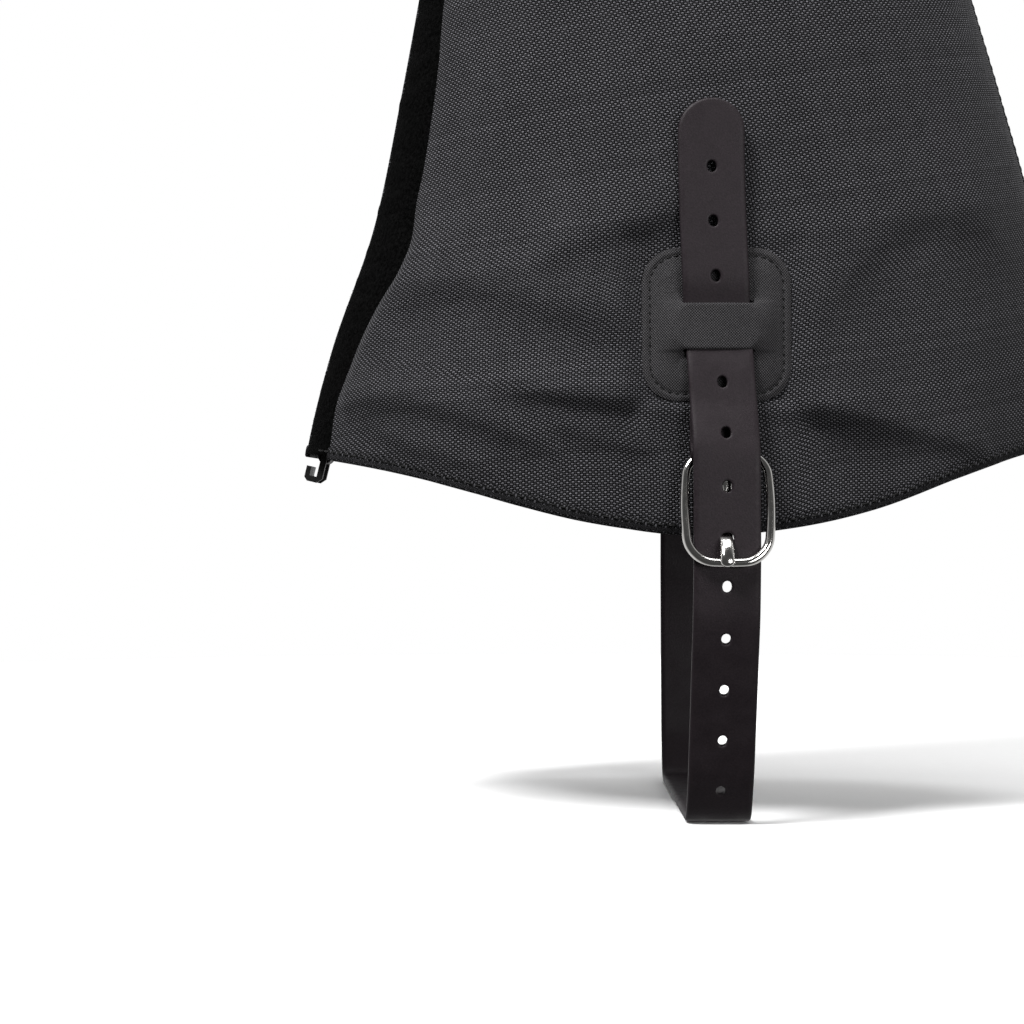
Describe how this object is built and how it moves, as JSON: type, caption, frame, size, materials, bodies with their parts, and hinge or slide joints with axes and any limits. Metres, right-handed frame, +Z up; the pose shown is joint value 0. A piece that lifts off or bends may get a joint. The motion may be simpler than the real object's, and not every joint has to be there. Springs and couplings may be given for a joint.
{
  "type": "gaiter",
  "caption": "Tall lower-leg gaiter with a flared hem, a folding hook-and-loop front flap, a stitched keeper patch and a rubber strap that buckles under the boot",
  "frame": {"origin": "on the leg's centre line, level with the lowest point of the hem", "axes": "+Z up the leg, -X towards the toe, -Y towards the outer side of the left leg"},
  "size_m": [0.2244, 0.1543, 0.5192],
  "materials": {
    "ballistic_cloth": "black ballistic nylon, coarse staggered basket weave, satin threads",
    "upper_cloth": "black coated nylon, fine plain weave, matt",
    "loop_tape": "black loop pile of a hook-and-loop fastener, matt and fuzzy",
    "hook_tape": "black moulded hooks in close rows",
    "hem_cloth": "folded edge of the same nylon with a line of stitches",
    "seam_tape": "thin grey welded tape",
    "elastic": "black ribbed elastic",
    "webbing": "black flat nylon webbing, ribbed across",
    "cam_plastic": "black moulded acetal, slightly textured",
    "nickel": "polished nickel plate",
    "dark_steel": "black-coated steel wire, satin",
    "coated_patch": "charcoal coated twill, stitched round its edge",
    "strap_rubber": "matt warm-black synthetic rubber strap"
  },
  "bodies": {
    "root": {"ankle_elastic": "elastic", "back_seam_welt": "hem_cloth", "buckle_strap": "strap_rubber", "cam_buckle_body": "cam_plastic", "cam_pin": "nickel", "cam_webbing": "webbing", "hem_lateral": "hem_cloth", "hem_medial": "hem_cloth", "hook_tab": "webbing", "instep_strap": "strap_rubber", "keeper_patch": "coated_patch", "lateral_panel_lower": "ballistic_cloth", "lateral_panel_upper": "upper_cloth", "loop_tape": "loop_tape", "medial_panel_lower": "ballistic_cloth", "medial_panel_upper": "upper_cloth", "medial_patch": "coated_patch", "medial_rivets": "nickel", "seam_tape": "seam_tape", "snap_stud": "nickel", "strap_tail": "strap_rubber", "top_cuff": "upper_cloth", "top_webbing": "webbing", "underlap_band": "upper_cloth"},
    "flap": {"front_flap": "ballistic_cloth", "hook_tape": "hook_tape", "hem_flap": "hem_cloth", "flap_cuff": "upper_cloth", "snap_cap": "nickel", "snap_socket": "nickel"},
    "buckle": {"buckle_frame": "nickel", "strap_window": "strap_rubber"},
    "prong": {"buckle_prong": "nickel"},
    "tip": {"strap_tip": "strap_rubber"},
    "hook": {"lace_hook": "dark_steel"},
    "lever": {"cam_lever": "cam_plastic"},
    "web_tail": {"webbing_tail": "webbing"}
  },
  "joints": [
    {"name": "flap_open", "type": "hinge", "parent": "root", "child": "flap", "pos_m": [-0.056, -0.0642, 0], "axis": [0.095, -0.0109, 0.9954], "range_deg": [0, 105]},
    {"name": "buckle_swing", "type": "hinge", "parent": "root", "child": "buckle", "pos_m": [0.0005, -0.0709, 0.022], "axis": [-1, 0, 0], "range_deg": [0, 18]},
    {"name": "prong_lift", "type": "hinge", "parent": "buckle", "child": "prong", "pos_m": [0.0005, -0.0709, 0.022], "axis": [-1, 0, 0], "range_deg": [0, 3]},
    {"name": "tip_lift", "type": "hinge", "parent": "root", "child": "tip", "pos_m": [0.0005, -0.07, 0.064], "axis": [1, 0, 0], "range_deg": [0, 80]},
    {"name": "lace_hook_swing", "type": "hinge", "parent": "root", "child": "hook", "pos_m": [-0.11011, 0, 0.02273], "axis": [0, -1, 0], "range_deg": [0, 50]},
    {"name": "cam_lever_open", "type": "hinge", "parent": "root", "child": "lever", "pos_m": [0.01135, -0.07417, 0.427], "axis": [0, 0, -1], "range_deg": [0, 95]},
    {"name": "web_tail_lift", "type": "hinge", "parent": "root", "child": "web_tail", "pos_m": [0.0339, -0.064, 0.427], "axis": [0, 0, -1], "range_deg": [0, 75]}
  ]
}
